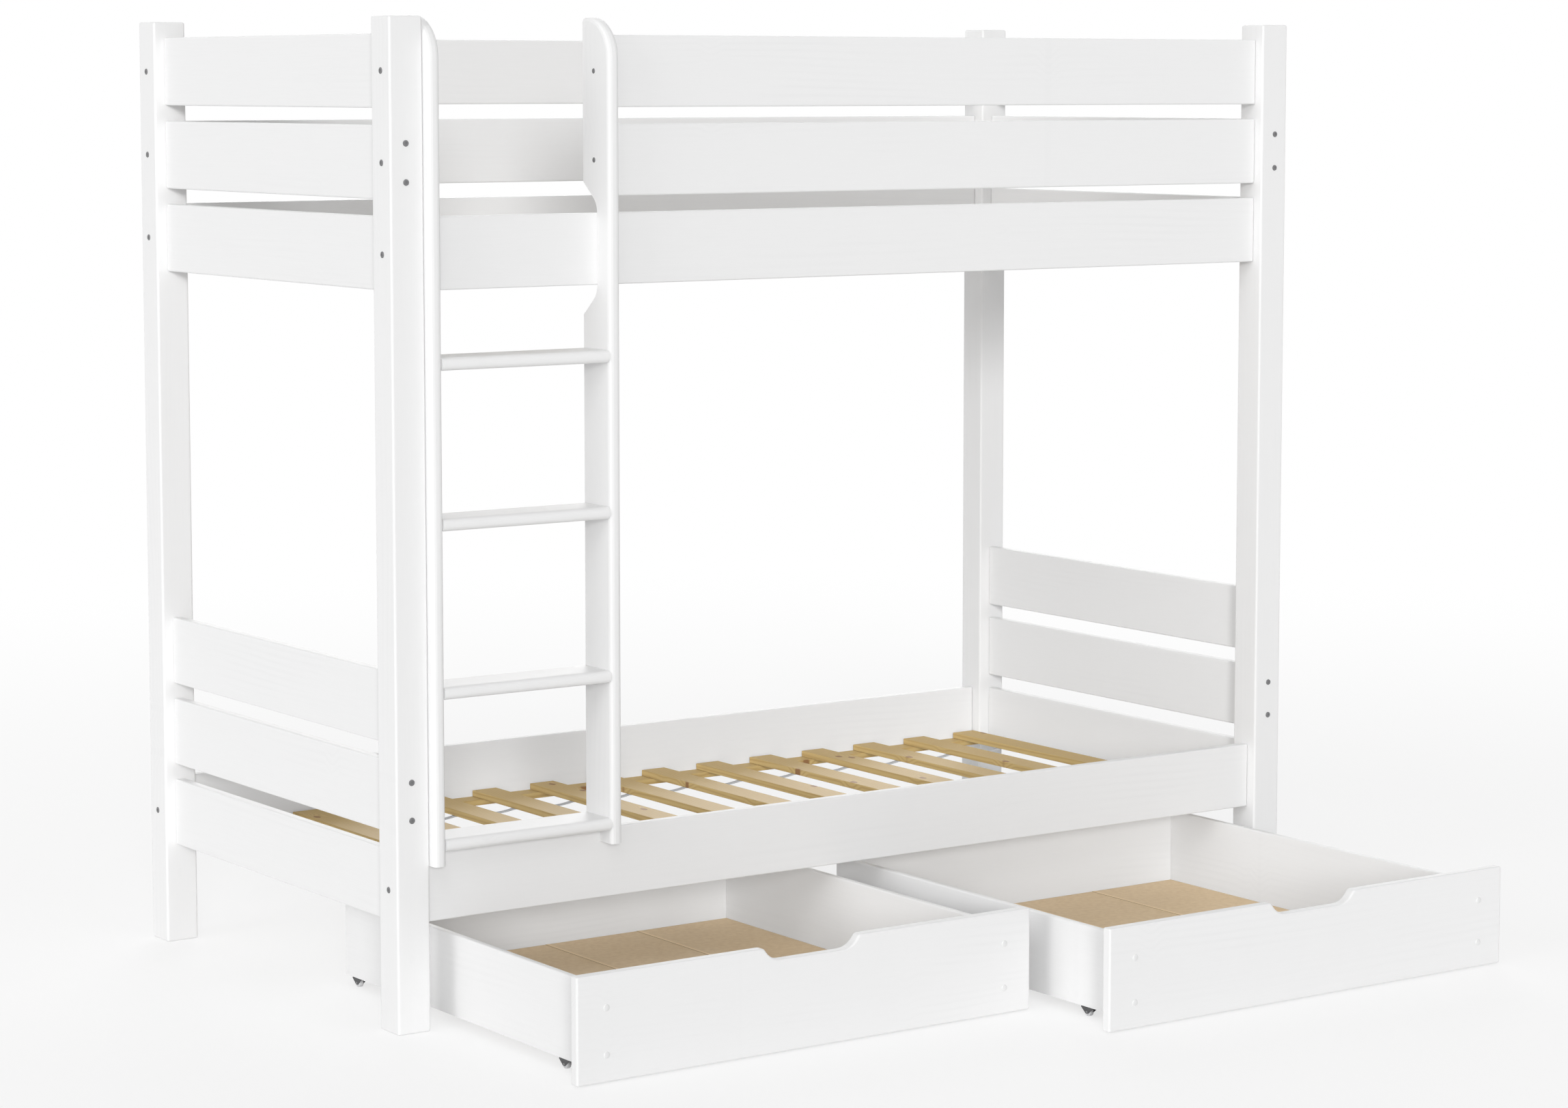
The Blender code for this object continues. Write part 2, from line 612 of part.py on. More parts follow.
def wheel_mesh():
    """A turned castor wheel about local Z, bored for the axle pin."""
    half = FORK_WIDTH / 2 - FORK_SHEET - WHEEL_SIDE_PLAY
    bore = PIN_RADIUS + PIN_PLAY
    section = [
        (bore, half),
        (WHEEL_RADIUS - WHEEL_EDGE, half),
        (WHEEL_RADIUS, half - WHEEL_EDGE),
        (WHEEL_RADIUS, WHEEL_EDGE - half),
        (WHEEL_RADIUS - WHEEL_EDGE, -half),
        (bore, -half),
    ]
    bm = bmesh.new()
    ring = [bm.verts.new((radius, 0, z)) for radius, z in section]
    for first, last in zip(ring, ring[1:] + ring[:1]):
        bm.edges.new((first, last))
    blank = new_part("wheel_blank", finish_mesh(bm, "wheel_section", TYRE), (0, 0, 0), None)
    turning = blank.modifiers.new("turning", 'SCREW')
    turning.steps = WHEEL_STEPS
    turning.render_steps = WHEEL_STEPS
    turning.use_merge_vertices = True
    turning.merge_threshold = WELD
    mesh = baked_mesh(blank)
    mesh.name = "castor_wheel"
    bpy.data.objects.remove(blank)
    return mesh


def main():
    """Build the whole bed."""
    frame = new_empty("bed_frame_middle", (0, BED_Y, 0))
    add_posts(frame)
    add_end_boards(frame)
    add_side_rails(frame)
    add_guard_boards(frame)
    add_slat_bases(frame)
    add_ladder(frame)
    meshes = drawer_meshes()
    fork = fork_mesh()
    wheel = wheel_mesh()
    add_drawer("left_drawer", -DRAWER_X, LEFT_DRAWER_OUT, meshes, fork, wheel)
    add_drawer("right_drawer", DRAWER_X, RIGHT_DRAWER_OUT, meshes, fork, wheel)


main()
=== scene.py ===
"""Finishes, slats, fittings and studio for a bunk bed with a ladder and two roll-out drawers."""
import json
import math

import bmesh
import bpy
from bpy.props import FloatProperty, FloatVectorProperty, IntProperty, PointerProperty
from mathutils import Matrix, Vector


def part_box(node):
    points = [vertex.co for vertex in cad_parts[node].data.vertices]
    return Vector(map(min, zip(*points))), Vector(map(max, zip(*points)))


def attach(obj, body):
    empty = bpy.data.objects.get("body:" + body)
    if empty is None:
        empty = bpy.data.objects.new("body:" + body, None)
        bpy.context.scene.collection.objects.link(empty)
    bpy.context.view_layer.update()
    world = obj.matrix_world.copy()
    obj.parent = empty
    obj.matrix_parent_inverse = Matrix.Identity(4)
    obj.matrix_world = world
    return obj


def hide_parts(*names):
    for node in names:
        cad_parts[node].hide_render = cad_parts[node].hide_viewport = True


bl_info = {
    "name": "Bunk bed with drawers",
    "version": (1, 0, 0),
    "blender": (4, 5, 0),
    "location": "3D View > Sidebar > Bunk bed",
    "description": "Dresses the bed's frame with slats, fittings, drawer floors and finishes",
    "category": "Object",
}

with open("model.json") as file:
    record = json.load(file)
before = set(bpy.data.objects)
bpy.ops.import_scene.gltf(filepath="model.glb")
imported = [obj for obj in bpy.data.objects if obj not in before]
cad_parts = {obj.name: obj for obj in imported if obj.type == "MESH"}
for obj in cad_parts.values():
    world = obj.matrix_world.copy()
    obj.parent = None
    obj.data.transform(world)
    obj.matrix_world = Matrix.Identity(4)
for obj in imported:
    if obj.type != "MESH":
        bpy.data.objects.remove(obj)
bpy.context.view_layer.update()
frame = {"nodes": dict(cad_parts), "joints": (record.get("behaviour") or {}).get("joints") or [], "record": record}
BED = "bed_frame"
DRAWERS = ("left_drawer", "right_drawer")
ENDS = (("left", -1), ("right", 1))
ROWS = (("front", -1), ("rear", 1))
BUNKS = ("lower", "upper")
FULL_TURN = 2 * math.pi
QUARTER_TURN = math.pi / 2


def size_of(node):
    """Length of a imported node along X, Y and Z."""
    low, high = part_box(node)
    return high - low


def middle_of(node):
    """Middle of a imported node's box."""
    low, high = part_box(node)
    return (low + high) / 2


def colour(name, description, value):
    """A colour that a user may change."""
    return FloatVectorProperty(
        name=name, description=description, default=value, subtype='COLOR', size=3, min=0, max=1)


def length(name, description, value):
    """A size that a user may change."""
    return FloatProperty(name=name, description=description, default=value, min=0,
                         unit='LENGTH', subtype='DISTANCE', precision=4)


def strength(name, description, value):
    """The strength of a light, which a user may change."""
    return FloatProperty(name=name, description=description, default=value, min=0)


class BunkBedColours(bpy.types.PropertyGroup):
    """Colours of the finishes."""
    lacquer: colour("Lacquer", "White lacquer on frame, ladder and drawers", (0.850, 0.850, 0.850))
    lacquer_grain: colour("Lacquer grain", "Lacquer where the grain shows through", (0.790, 0.790, 0.792))
    pine: colour("Pine", "Early wood of the slats and ledgers", (0.600, 0.438, 0.187))
    pine_grain: colour("Pine grain", "Late wood lines of the slats and ledgers", (0.450, 0.288, 0.100))
    knot: colour("Knot", "Knots in the pine", (0.290, 0.145, 0.055))
    hardboard: colour("Hardboard", "Drawer floors", (0.800, 0.615, 0.385))
    hardboard_fleck: colour("Hardboard fleck", "Darker fibres in the drawer floors", (0.702, 0.522, 0.316))
    bounce: colour("Bounce", "Tone of the light that bare wood throws on what is near", (0.800, 0.790, 0.780))
    webbing: colour("Webbing", "Straps under the slats", (0.660, 0.665, 0.680))
    bolt: colour("Bolt", "Bolt heads, screws and staples", (0.225, 0.225, 0.230))
    fork: colour("Fork", "Castor forks", (0.085, 0.085, 0.088))
    tyre: colour("Wheel", "Castor wheels", (0.680, 0.680, 0.690))


class BunkBedSizes(bpy.types.PropertyGroup):
    """Sizes of the pieces that are added to the frame."""
    board_edge: length("Board edge", "Rounding of the side rails", 0.003)
    board_thickness: length("Board thickness", "Thickness of the side rails", size_of("guard_board_rear_1").y)
    ledger_inset: length("Ledger inset", "From a rail's end to its ledger's end", 0.010)
    ledger_rise: length("Ledger rise", "From a rail's underside to its ledger's underside", 0.0065)
    ledger_height: length("Ledger height", "Height of a ledger", 0.012)
    slat_width: length("Slat width", "Width of a slat", 0.0575)
    slat_thickness: length("Slat thickness", "Thickness of a slat", 0.013)
    slat_edge: length("Slat edge", "Rounding of a slat's long edges", 0.0015)
    slat_count: IntProperty(name="Slats", description="Slats in a base", default=13, min=2)
    strap_width: length("Strap width", "Width of a webbing strap", 0.015)
    strap_thickness: length("Strap thickness", "Thickness of a webbing strap", 0.0012)
    strap_spacing: length("Strap spacing", "Between the middles of a base's straps", 0.574)
    strap_sag: length("Strap sag", "How far a strap hangs between two slats", 0.004)
    strap_inset: length("Strap inset", "From an end slat's outer edge to the strap's end", 0.002)
    staple_width: length("Staple width", "Length of a staple's crown, across the strap", 0.0093)
    staple_wire: length("Staple wire", "Thickness of a staple's wire", 0.0006)
    bolt_head: length("Bolt head", "Diameter of a bolt head", 0.0115)
    bolt_rise: length("Bolt rise", "How far a bolt head stands proud", 0.0012)
    bolt_spacing: length("Bolt spacing", "Between the two bolts that hold an end board's end", 0.068)
    ladder_screw: length("Ladder screw", "Diameter of a ladder screw's head", 0.009775)
    plug: length("Plug", "Diameter of a cover plug in a drawer front", 0.012)
    plug_inset: length("Plug inset", "From a drawer front's end to its plugs", 0.059)
    plug_upper: length("Upper plugs", "Height of the upper plugs above the ground", 0.131)
    plug_lower: length("Lower plugs", "Height of the lower plugs above the ground", 0.0495)
    panel_count: IntProperty(name="Floor panels", description="Panels in a drawer's floor", default=4, min=2)
    floor_thickness: length("Floor thickness", "Thickness of a drawer floor panel", 0.0025)
    floor_edge: length("Floor edge", "Rounding of the panels and strips", 0.0003)
    panel_gap: length("Panel gap", "From the middle of a joint to a panel's edge", 0.0006)
    strip_width: length("Strip width", "Width of a strip that joins two floor panels", 0.008)
    strip_web: length("Strip web", "Thickness of a strip between two panels", 0.001)
    strip_play: length("Strip play", "Between a strip's end and the board before it", 0.001)
    castor_screw: length("Castor screw", "Diameter of a castor screw's head", 0.0036)
    castor_screw_spacing: length("Castor screw spacing", "Between a castor's two screws", 0.025)
    castor_screw_drop: length("Castor screw drop", "From a fork's top to its screw heads' rims", 0.0016)
    wheel_width: length("Wheel width", "Width of a castor wheel", 0.0094)
    axle: length("Axle", "Diameter of a castor's axle pin", 0.003)
    axle_play: length("Axle play", "Between a wheel's bore and its axle pin", 0.0003)


class BunkBedStage(bpy.types.PropertyGroup):
    """The studio."""
    lens: FloatProperty(
        name="Lens", description="Focal length of the camera", default=89.18, min=1, unit='CAMERA')
    shift: FloatProperty(
        name="Shift", description="Downward shift of the frame, as a share of its width", default=-0.06)
    yaw: FloatProperty(
        name="Yaw", description="Camera's turn from +Y towards +X", default=0.60946, subtype='ANGLE')
    pitch: FloatProperty(
        name="Pitch", description="Camera's tilt, upwards positive", default=-0.09728, subtype='ANGLE')
    place: FloatVectorProperty(
        name="Camera", description="Where the camera stands", default=(-4.3482, -6.0712, 1.6869),
        subtype='TRANSLATION', size=3)
    floor: colour("Floor", "Pale studio floor", (0.960, 0.960, 0.960))
    floor_start: length("Floor start", "Distance at which the floor starts to turn white", 1.2)
    floor_reach: length("Floor reach", "Distance at which the floor has turned wholly white", 6.0)
    ambient: strength("Ambient", "Strength of the light from all around", 0.32)
    front: strength("Front light", "Strength of the light from beside the camera", 1.38)
    key: strength("Key light", "Strength of the light from the front and above", 0.35)
    side: strength("Side light", "Strength of the light from the bed's left end", 0.83)
    top: strength("Top light", "Strength of the light from above", 0.35)
    back: strength("Back light", "Strength of the light from behind", 0.9)


# Shader node groups that several finishes share

# The cells are counted in a metre along and across the grain, and each knot cell holds a knot.
KNOT_CELLS = (5.0, 8.5, 1.0)
DRIFT_CELLS = (0.9, 5.0, 5.0)
CLOUD_CELLS = (2.2, 11.0, 11.0)
FIBRE_CELLS = (14.0, 620.0, 620.0)
CELL_TO_METRES = 0.135
KNOT_RIM = (0.75, 1.1)  # where a knot ends, in knot sizes
SWERVE_REACH = 4.0  # how far from a knot the rings bend, in knot sizes
SWERVE = 0.012  # how far they bend, in metres
RING_SLANT = 0.63
RING_SHARPNESS = 2.2
COARSE_SHARE = (0.1, 0.1, 0.1)  # cells of the coarse speckle for one of the fine speckle


def new_group(name, inputs, outputs):
    """The wiring, the inside of the inputs and that of the outputs of a new shader node group."""
    group = bpy.data.node_groups.new(name, 'ShaderNodeTree')
    for label, kind, value in inputs:
        socket = group.interface.new_socket(label, in_out='INPUT', socket_type=kind)
        if value is not None:
            socket.default_value = value
    for label in outputs:
        group.interface.new_socket(label, in_out='OUTPUT', socket_type='NodeSocketFloat')
    return Wiring(group), group.nodes.new('NodeGroupInput').outputs, group.nodes.new('NodeGroupOutput').inputs


class Wiring:
    """Adds nodes to a tree and links their sockets."""

    def __init__(self, tree):
        self.tree = tree

    def node(self, kind, **settings):
        """A new node with its settings."""
        made = self.tree.nodes.new(kind)
        for key, value in settings.items():
            setattr(made, key, value)
        return made

    def feed(self, socket, value):
        """Give a socket a value, or link it to another socket."""
        if isinstance(value, bpy.types.NodeSocket):
            self.tree.links.new(value, socket)
        else:
            socket.default_value = value

    def through(self, kind, *values, **settings):
        """The first output of a new node whose first inputs are fed."""
        made = self.node(kind, **settings)
        for socket, value in zip(made.inputs, values):
            self.feed(socket, value)
        return made.outputs[0]

    def math(self, operation, first, second=0.0, third=0.0):
        """The result of a Math node."""
        return self.through('ShaderNodeMath', first, second, third, operation=operation)

    def weigh(self, *terms):
        """The sum of values, each times its share."""
        total = 0.0
        for value, share in terms:
            total = self.math('MULTIPLY_ADD', value, share, total)
        return total

    def scaled(self, vector, scale):
        """A vector multiplied by another, part by part."""
        return self.through('ShaderNodeVectorMath', vector, scale, operation='MULTIPLY')

    def parts(self, vector):
        """The X, Y and Z of a vector."""
        made = self.node('ShaderNodeSeparateXYZ')
        self.feed(made.inputs[0], vector)
        return made.outputs

    def noise(self, vector, detail, roughness=0.5):
        """A noise value at a vector that is measured in the noise's own cells."""
        made = self.node('ShaderNodeTexNoise')
        settings = (("Vector", vector), ("Scale", 1.0), ("Detail", detail), ("Roughness", roughness))
        for label, value in settings:
            self.feed(made.inputs[label], value)
        return made.outputs['Fac']

    def ramp(self, value, low, high):
        """0 below low, 1 above high and a smooth step between them."""
        made = self.node('ShaderNodeMapRange', interpolation_type='SMOOTHSTEP')
        for label, given in (("Value", value), ("From Min", low), ("From Max", high)):
            self.feed(made.inputs[label], given)
        return made.outputs['Result']

    def mix(self, share, first, second):
        """A colour between two others, which are sockets or plain colours."""
        made = self.node('ShaderNodeMix', data_type='RGBA')
        self.feed(made.inputs[0], share)
        for socket, value in zip(made.inputs[6:8], (first, second)):
            self.feed(socket, value if isinstance(value, bpy.types.NodeSocket) else (*value, 1))
        return made.outputs[2]

    def blend(self, share, first, second, output):
        """Send an output a blend of two shaders."""
        self.feed(output, self.through('ShaderNodeMixShader', share, first, second))

    def group(self, name, **values):
        """The outputs of a placed node group with its inputs fed."""
        made = self.node('ShaderNodeGroup', node_tree=shared_group(name))
        for label, value in values.items():
            self.feed(made.inputs[label.replace("_", " ")], value)
        return made.outputs


def make_grain_group():
    """Wood grain along the vector's X: growth rings, fine fibres, cloudy patches and knots."""
    wire, given, result = new_group(
        "Wood grain",
        [("Vector", 'NodeSocketVector', None), ("Ring spacing", 'NodeSocketFloat', 0.006),
         ("Waviness", 'NodeSocketFloat', 0.03), ("Knot size", 'NodeSocketFloat', 0.008)],
        ["Rings", "Fibres", "Clouds", "Knots"])
    vector = given["Vector"]
    cells = wire.node('ShaderNodeTexVoronoi', voronoi_dimensions='2D')
    wire.feed(cells.inputs['Vector'], wire.scaled(vector, KNOT_CELLS))
    wire.feed(cells.inputs['Scale'], 1.0)
    apart = wire.math('MULTIPLY', cells.outputs['Distance'], CELL_TO_METRES)
    knot = wire.math('DIVIDE', apart, given["Knot size"])
    near = wire.math('SUBTRACT', 1.0, wire.ramp(knot, low=0.0, high=SWERVE_REACH))
    parts = wire.parts(vector)
    across = wire.math('MULTIPLY_ADD', parts['Z'], RING_SLANT, parts['Y'])
    drift = wire.noise(wire.scaled(vector, DRIFT_CELLS), detail=1.0)
    field = wire.math('MULTIPLY_ADD', drift, given["Waviness"], across)
    field = wire.math('MULTIPLY_ADD', near, SWERVE, field)
    turns = wire.math('DIVIDE', field, given["Ring spacing"])
    wave = wire.math('SINE', wire.math('MULTIPLY', turns, FULL_TURN))
    rings = wire.math('MULTIPLY_ADD', wave, 0.5, 0.5)
    wire.feed(result["Rings"], wire.math('POWER', rings, RING_SHARPNESS))
    wire.feed(result["Fibres"], wire.noise(wire.scaled(vector, FIBRE_CELLS), detail=3.0, roughness=0.6))
    wire.feed(result["Clouds"], wire.noise(wire.scaled(vector, CLOUD_CELLS), detail=2.0))
    wire.feed(result["Knots"], wire.math('SUBTRACT', 1.0, wire.ramp(knot, *KNOT_RIM)))
    return wire.tree


def make_speckle_group():
    """Fine unevenness of a pressed, sprayed or plated face."""
    wire, given, result = new_group(
        "Speckle",
        [("Vector", 'NodeSocketVector', None), ("Grain size", 'NodeSocketFloat', 0.001)],
        ["Coarse", "Fine"])
    unit = wire.node('ShaderNodeVectorMath', operation='SCALE')
    wire.feed(unit.inputs[0], given["Vector"])
    wire.feed(unit.inputs['Scale'], wire.math('DIVIDE', 1.0, given["Grain size"]))
    wire.feed(result["Fine"], wire.noise(unit.outputs[0], detail=3.0, roughness=0.6))
    wire.feed(result["Coarse"], wire.noise(wire.scaled(unit.outputs[0], COARSE_SHARE), detail=4.0))
    return wire.tree


def shared_group(name):
    """A node group that is built once."""
    makers = {"Wood grain": make_grain_group, "Speckle": make_speckle_group}
    return bpy.data.node_groups.get(name) or makers[name]()


# Finishes

RANDOM_REACH = (7.3, 5.9, 3.7)  # how far along, across and into the wood two boards may differ
RIB_PITCH = 0.0018
THREAD_PITCH = 0.0012
BOUNCE_SHARE = 0.85  # how much of the light that bare wood throws takes the bounce's tone
STEEL = {"metallic": 0.25, "dark_share": 0.78, "spread": 0.20, "relief": 0.00005}
PLASTIC = {"metallic": 0.0, "dark_share": 0.93, "spread": 0.12, "relief": 0.00004}


def new_finish(name, roughness=0.55, metallic=0.0, specular=0.5):
    """A material with its wiring, its Principled shader and the place on the piece."""
    material = bpy.data.materials.new(f"{name}_finish")
    material.use_nodes = True
    wire = Wiring(material.node_tree)
    shader = material.node_tree.nodes["Principled BSDF"].inputs
    for label, value in (("Roughness", roughness), ("Metallic", metallic), ("Specular IOR Level", specular)):
        shader[label].default_value = value
    return material, wire, shader, wire.node('ShaderNodeTexCoord').outputs['Object']


def dimmed(tone, share):
    """A colour times a share."""
    return tuple(part * share for part in tone)


def along(wire, place, axis, shifted=False):
    """The place on the piece, turned so that the grain runs along the vector's X."""
    if shifted:
        chance = wire.node('ShaderNodeObjectInfo').outputs['Random']
        reaches = [wire.math('MULTIPLY', chance, reach) for reach in RANDOM_REACH]
        start = wire.through('ShaderNodeCombineXYZ', *reaches)
        place = wire.through('ShaderNodeVectorMath', place, start, operation='ADD')
    parts = wire.parts(place)
    order = {"x": "XYZ", "y": "YXZ", "z": "ZXY"}[axis]
    return wire.through('ShaderNodeCombineXYZ', *[parts[letter] for letter in order])


def vary_roughness(wire, shader, value, low, spread):
    """Roughness that goes from low to low plus spread as a value goes from 0 to 1."""
    wire.feed(shader["Roughness"], wire.math('MULTIPLY_ADD', value, spread, low))


def raise_surface(wire, shader, height, distance, strength):
    """Feed a height to the shader's normal."""
    bump = wire.node('ShaderNodeBump')
    for label, value in (("Strength", strength), ("Distance", distance), ("Height", height)):
        wire.feed(bump.inputs[label], value)
    wire.feed(shader["Normal"], bump.outputs['Normal'])


def seen_rays(wire):
    """1 for the rays that the camera sees, also by way of a mirror or glass, and 0 for the rest."""
    rays = wire.node('ShaderNodeLightPath').outputs
    mirrored = wire.math('MAXIMUM', rays['Is Glossy Ray'], rays['Is Transmission Ray'])
    return wire.math('MAXIMUM', rays['Is Camera Ray'], mirrored)


def calm_bounce(wire, wood):
    """A wood colour that throws a paler light on the lacquer around it than the eye sees."""
    rays = wire.node('ShaderNodeLightPath').outputs
    share = wire.math('MULTIPLY', rays['Is Diffuse Ray'], BOUNCE_SHARE)
    return wire.mix(share, wood, bpy.context.scene.bunk_bed_colours.bounce)


def make_lacquer(axis):
    """White lacquer over pine: the grain shows as a faint shade and a faint relief."""
    colours = bpy.context.scene.bunk_bed_colours
    material, wire, shader, place = new_finish(f"lacquer_along_{axis}", specular=0.35)
    grain = wire.group("Wood grain", Vector=along(wire, place, axis),
                       Ring_spacing=0.009, Waviness=0.06, Knot_size=0.006)
    lines = wire.math('MULTIPLY', grain["Rings"], wire.ramp(grain["Clouds"], low=0.45, high=0.75))
    shade = wire.weigh((grain["Fibres"], 0.45), (lines, 0.25), (grain["Knots"], 0.12))
    wire.feed(shader["Base Color"], wire.mix(shade, colours.lacquer, colours.lacquer_grain))
    vary_roughness(wire, shader, grain["Fibres"], low=0.50, spread=0.12)
    raise_surface(wire, shader, grain["Fibres"], distance=0.00006, strength=0.4)
    return material


def make_pine(axis):
    """Planed bare pine with growth rings and brown knots."""
    colours = bpy.context.scene.bunk_bed_colours
    material, wire, shader, place = new_finish(f"pine_along_{axis}", specular=0.3)
    grain = wire.group("Wood grain", Vector=along(wire, place, axis, shifted=True),
                       Ring_spacing=0.0062, Waviness=0.055, Knot_size=0.0075)
    lines = wire.weigh((grain["Rings"], 0.62), (grain["Fibres"], 0.22))
    patches = wire.math('MULTIPLY', wire.ramp(grain["Clouds"], low=0.5, high=0.8), 0.25)
    wood = wire.mix(lines, colours.pine, colours.pine_grain)
    wood = wire.mix(patches, wood, colours.pine_grain)
    wood = wire.mix(grain["Knots"], wood, colours.knot)
    wire.feed(shader["Base Color"], calm_bounce(wire, wood))
    vary_roughness(wire, shader, grain["Rings"], low=0.60, spread=-0.10)
    height = wire.math('ADD', grain["Fibres"], grain["Rings"])
    raise_surface(wire, shader, height, distance=0.00025, strength=0.5)
    return material


def make_hardboard():
    """Tan hardboard with pressed fibres."""
    colours = bpy.context.scene.bunk_bed_colours
    material, wire, shader, place = new_finish("hardboard", specular=0.35)
    speckle = wire.group("Speckle", Vector=place, Grain_size=0.0012)
    fleck = wire.ramp(wire.weigh((speckle["Coarse"], 0.7), (speckle["Fine"], 0.5)), low=0.35, high=0.9)
    wood = wire.mix(fleck, colours.hardboard, colours.hardboard_fleck)
    wire.feed(shader["Base Color"], calm_bounce(wire, wood))
    vary_roughness(wire, shader, speckle["Coarse"], low=0.45, spread=0.2)
    raise_surface(wire, shader, speckle["Fine"], distance=0.0001, strength=0.5)
    return material


def make_strip():
    """Hardboard strip with painted shade along its long edges, standing in for the shade of the joint beside them,
    and a lighter tone that is a painted highlight.
    """
    colours = bpy.context.scene.bunk_bed_colours
    material, wire, shader, place = new_finish("floor_strip", specular=0.35)
    speckle = wire.group("Speckle", Vector=place, Grain_size=0.0012)
    # Painted shade: a mask over the outer millimetre of each long edge of the strip, where the joint beside it
    # would shade it.
    edge = wire.ramp(wire.math('ABSOLUTE', wire.parts(place)['X']), low=0.0030, high=0.0040)
    # Painted highlight: a tone up to a fifth lighter than the panels, varied by the coarse speckle, so the strip's
    # raised face reads as lit.
    wood = wire.mix(speckle["Coarse"], colours.hardboard, dimmed(colours.hardboard, 1.2))
    # Painted shade: the masked edges take a darkened fleck colour.
    wood = wire.mix(edge, wood, dimmed(colours.hardboard_fleck, 0.72))
    wire.feed(shader["Base Color"], calm_bounce(wire, wood))
    raise_surface(wire, shader, speckle["Fine"], distance=0.0001, strength=0.5)
    return material


def make_webbing():
    """Light grey webbing, woven in ribs across the strap."""
    webbing = bpy.context.scene.bunk_bed_colours.webbing
    material, wire, shader, place = new_finish("webbing", roughness=0.85, specular=0.2)
    parts = wire.parts(place)
    ribs = wire.math('SINE', wire.math('MULTIPLY', parts['X'], FULL_TURN / RIB_PITCH))
    threads = wire.math('SINE', wire.math('MULTIPLY', parts['Y'], FULL_TURN / THREAD_PITCH))
    crossings = wire.math('MULTIPLY', ribs, threads)
    weave = wire.math('ADD', wire.weigh((crossings, 0.25), (ribs, 0.25)), 0.5)
    speckle = wire.group("Speckle", Vector=place, Grain_size=0.0008)
    shade = wire.weigh((speckle["Fine"], 0.3), (weave, 0.6))
    wire.feed(shader["Base Color"], wire.mix(shade, dimmed(webbing, 0.72), webbing))
    raise_surface(wire, shader, weave, distance=0.0003, strength=0.8)
    return material


def make_speckled(name, tone, roughness, grain, metallic, dark_share, spread, relief):
    """Steel or plastic with a slightly uneven face."""
    material, wire, shader, place = new_finish(name, roughness, metallic)
    speckle = wire.group("Speckle", Vector=place, Grain_size=grain)
    wire.feed(shader["Base Color"], wire.mix(speckle["Coarse"], dimmed(tone, dark_share), tone))
    vary_roughness(wire, shader, speckle["Fine"], low=roughness - spread / 2, spread=spread)
    raise_surface(wire, shader, speckle["Fine"], distance=relief, strength=0.4)
    return material


def finish(name):
    """A finish by name, built when it is first asked for."""
    colours = bpy.context.scene.bunk_bed_colours
    makers = {
        "lacquer_along_x": lambda: make_lacquer("x"),
        "lacquer_along_y": lambda: make_lacquer("y"),
        "lacquer_along_z": lambda: make_lacquer("z"),
        "pine_along_x": lambda: make_pine("x"),
        "pine_along_y": lambda: make_pine("y"),
        "hardboard": make_hardboard,
        "floor_strip": make_strip,
        "webbing": make_webbing,
        "bolt_steel": lambda: make_speckled("bolt_steel", colours.bolt, 0.45, 0.0006, **STEEL),
        "castor_steel": lambda: make_speckled("castor_steel", colours.fork, 0.50, 0.0008, **STEEL),
        "castor_wheel": lambda: make_speckled("castor_wheel", colours.tyre, 0.45, 0.0006, **PLASTIC),
        "screw_plug": lambda: make_speckled(
            "screw_plug", dimmed(colours.lacquer, 0.95), 0.40, 0.0006, **PLASTIC),
    }
    return bpy.data.materials.get(f"{name}_finish") or makers[name]()


# Pieces

BEND_ANGLE = 50  # degrees from which an edge of a folded piece is sharp
EDGE_ANGLE = 35  # the same for a turned piece
BEVEL_ANGLE = 40  # degrees from which an edge is rounded
HEAD_STEPS = 36  # sides of a bolt's or a screw's round head
RECESS_FLOOR = 0.0001  # height of a recess's floor above the face that the head lies on
# Profiles from the back to the front, as pairs of reach and height. The reach is a share of the radius in
# SCREW_RIM, PLUG_DOME and WHEEL_GROOVE, what is taken off it in PLUG_SHANK and WHEEL_SHOULDER, and in
# metres in RIVET. The wheel's heights are counted downwards from its side.
SCREW_RIM = ((0.96, -0.0012), (1, 0), (0.84, 0.0008))
SCREW_FACE = 0.0010
PLUG_SHANK = ((0.0004, -0.0020), (0, -0.0002), (0, 0.0004))
PLUG_DOME = ((0.95, 0.0008), (0.75, 0.0012), (0.45, 0.0015), (0, 0.0016))
RIVET = ((0.0022, -0.0001), (0.0022, 0.0002), (0.0017, 0.0007), (0, 0.0009))
WHEEL_GROOVE = ((0.36, 0), (0.42, 0.0007), (0.70, 0.0007), (0.76, 0))
WHEEL_SHOULDER = ((0.0012, 0), (0.0004, 0.0005), (0, 0.0013))


def new_piece(name, mesh, place, material, slot, body, turn=(0, 0, 0)):
    """A piece that stands at a place and rides on a body of the frame."""
    mesh.materials.clear()
    mesh.materials.append(finish(material))
    piece = bpy.data.objects.new(name, mesh)
    piece.location = place
    piece.rotation_euler = turn
    bpy.context.scene.collection.objects.link(piece)
    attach(piece, body)
    return piece


def mesh_from(bm, name, sharp=None):
    """A smooth-shaded mesh from a bmesh, with its edges sharp from an angle in degrees."""
    bmesh.ops.recalc_face_normals(bm, faces=bm.faces)
    mesh = bpy.data.meshes.new(name)
    bm.to_mesh(mesh)
    bm.free()
    mesh.shade_smooth()
    if sharp is not None:
        mesh.set_sharp_from_angle(angle=math.radians(sharp))
    return mesh


def block_mesh(name, size):
    """A box about its own middle."""
    bm = bmesh.new()
    bmesh.ops.create_cube(bm, size=1, matrix=Matrix.Diagonal((*size, 1)))
    return mesh_from(bm, name)


def soften(piece, radius, segments=3):
    """Round the piece's edges and keep its faces flat."""
    bevel = piece.modifiers.new("soft_edges", 'BEVEL')
    bevel.width = radius
    bevel.segments = segments
    bevel.limit_method = 'ANGLE'
    bevel.angle_limit = math.radians(BEVEL_ANGLE)
    bevel.harden_normals = True


def circle(radius, height, steps):
    """Points in a circle about local Z, or the point at its middle where the radius is 0."""
    turns = [FULL_TURN * step / steps for step in range(steps if radius else 1)]
    return [(radius * math.cos(turn), radius * math.sin(turn), height) for turn in turns]


